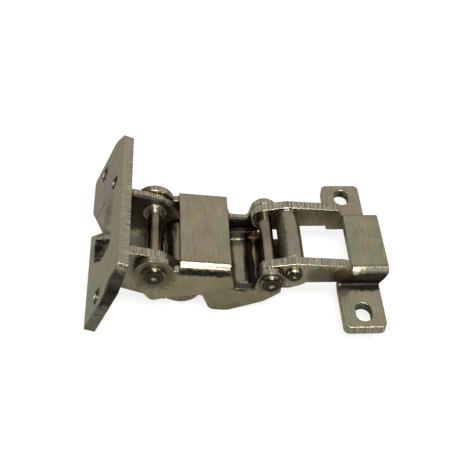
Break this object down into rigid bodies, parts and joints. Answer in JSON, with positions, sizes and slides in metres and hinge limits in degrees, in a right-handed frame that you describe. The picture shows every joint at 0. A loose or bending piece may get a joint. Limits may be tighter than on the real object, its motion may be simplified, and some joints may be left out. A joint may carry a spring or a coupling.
{
  "type": "washing machine door hinge",
  "caption": "Folding four-bar steel hinge that carries a front-loader door, with a screw plate for the door and a slotted foot for the cabinet.",
  "frame": {"origin": "midway between the two screw slots of the foot bracket, on the underside of its feet", "axes": "+X runs away from the door along the opened hinge, +Y along the hinge pins, +Z out of the mounting surface on the side that the links fold towards"},
  "size_m": [0.0897, 0.0604, 0.0339],
  "materials": {
    "plated_steel_bracket": "zinc plated, olive grey passivated",
    "plated_steel_link": "zinc plated, olive grey passivated",
    "plated_steel_inner": "zinc plated, olive grey passivated",
    "rivet_steel": "turned, zinc plated",
    "washer_steel": "zinc plated"
  },
  "bodies": {
    "foot": {"foot_bracket": "plated_steel_bracket", "pivot_pin_b": "rivet_steel", "pivot_pin_c": "rivet_steel", "pin_c_washer_far": "washer_steel", "pin_c_washer_near": "washer_steel"},
    "outer": {"outer_link": "plated_steel_link"},
    "door": {"door_bracket": "plated_steel_bracket", "pivot_pin_a": "rivet_steel", "pin_a_washer_far": "washer_steel", "pin_a_washer_near": "washer_steel", "pivot_pin_d": "rivet_steel", "pin_d_washer_far": "washer_steel", "pin_d_washer_near": "washer_steel"},
    "inner": {"inner_link": "plated_steel_inner"}
  },
  "joints": [
    {"name": "outer_link_fold", "type": "hinge", "parent": "foot", "child": "outer", "pos_m": [-0.0268, 0, 0.0068], "axis": [0, 1, 0], "range_deg": [0, 75]},
    {"name": "door_bracket_turn", "type": "hinge", "parent": "outer", "child": "door", "pos_m": [-0.0611, 0, 0.0108], "axis": [0, 1, 0], "range_deg": [0, 17.5]},
    {"name": "inner_link_fold", "type": "hinge", "parent": "foot", "child": "inner", "pos_m": [-0.0199, 0, 0.0078], "axis": [0, 1, 0], "range_deg": [0, 60.5]}
  ],
  "couplings": [
    {"joint": "door_bracket_turn", "follows": "outer_link_fold", "ratio": 0.228},
    {"joint": "inner_link_fold", "follows": "outer_link_fold", "ratio": 0.798}
  ]
}
